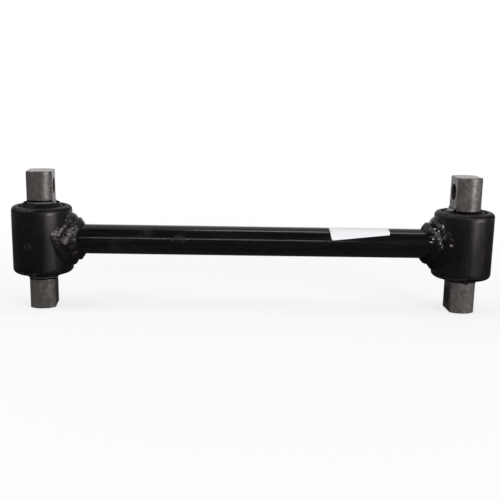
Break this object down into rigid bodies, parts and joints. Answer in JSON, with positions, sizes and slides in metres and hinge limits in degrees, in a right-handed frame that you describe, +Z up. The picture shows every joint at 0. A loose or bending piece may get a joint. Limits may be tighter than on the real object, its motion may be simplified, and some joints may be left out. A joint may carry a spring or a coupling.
{
  "type": "radius rod",
  "caption": "Straight suspension rod: a steel tube with a rubber-bushed eye welded across each end, each holding an upright bar pin with flatted, cross-drilled ends.",
  "frame": {"origin": "on the ground under the middle of the rod, which stands on the lower ends of its bar pins", "axes": "+X along the rod, +Z up along the bar pins"},
  "size_m": [0.6207, 0.0762, 0.1762],
  "materials": {
    "rod_paint": "thin gloss black paint over drawn steel and rough weld beads, dusty in patches",
    "washer_paint": "black paint, dull",
    "bush_rubber": "black rubber",
    "pin_steel": "raw drawn bar steel, dull grey, black paint at its root",
    "label_film": "blank white film label"
  },
  "bodies": {
    "rod": {"rod_tube": "rod_paint", "left_eye_sleeve": "rod_paint", "right_eye_sleeve": "rod_paint", "left_upper_washer": "washer_paint", "left_lower_washer": "washer_paint", "right_upper_washer": "washer_paint", "right_lower_washer": "washer_paint", "left_rubber_bush": "bush_rubber", "right_rubber_bush": "bush_rubber", "blank_label": "label_film"},
    "left_pin": {"left_bar_pin": "pin_steel"},
    "right_pin": {"right_bar_pin": "pin_steel"}
  },
  "joints": [
    {"name": "left_pin_twist", "type": "hinge", "parent": "rod", "child": "left_pin", "pos_m": [-0.27225, 0, 0.0881], "axis": [0, 0, 1], "range_deg": [-12, 12], "stiffness_Nm_per_rad": 600},
    {"name": "right_pin_twist", "type": "hinge", "parent": "rod", "child": "right_pin", "pos_m": [0.27225, 0, 0.0881], "axis": [0, 0, 1], "range_deg": [-12, 12], "stiffness_Nm_per_rad": 600}
  ]
}
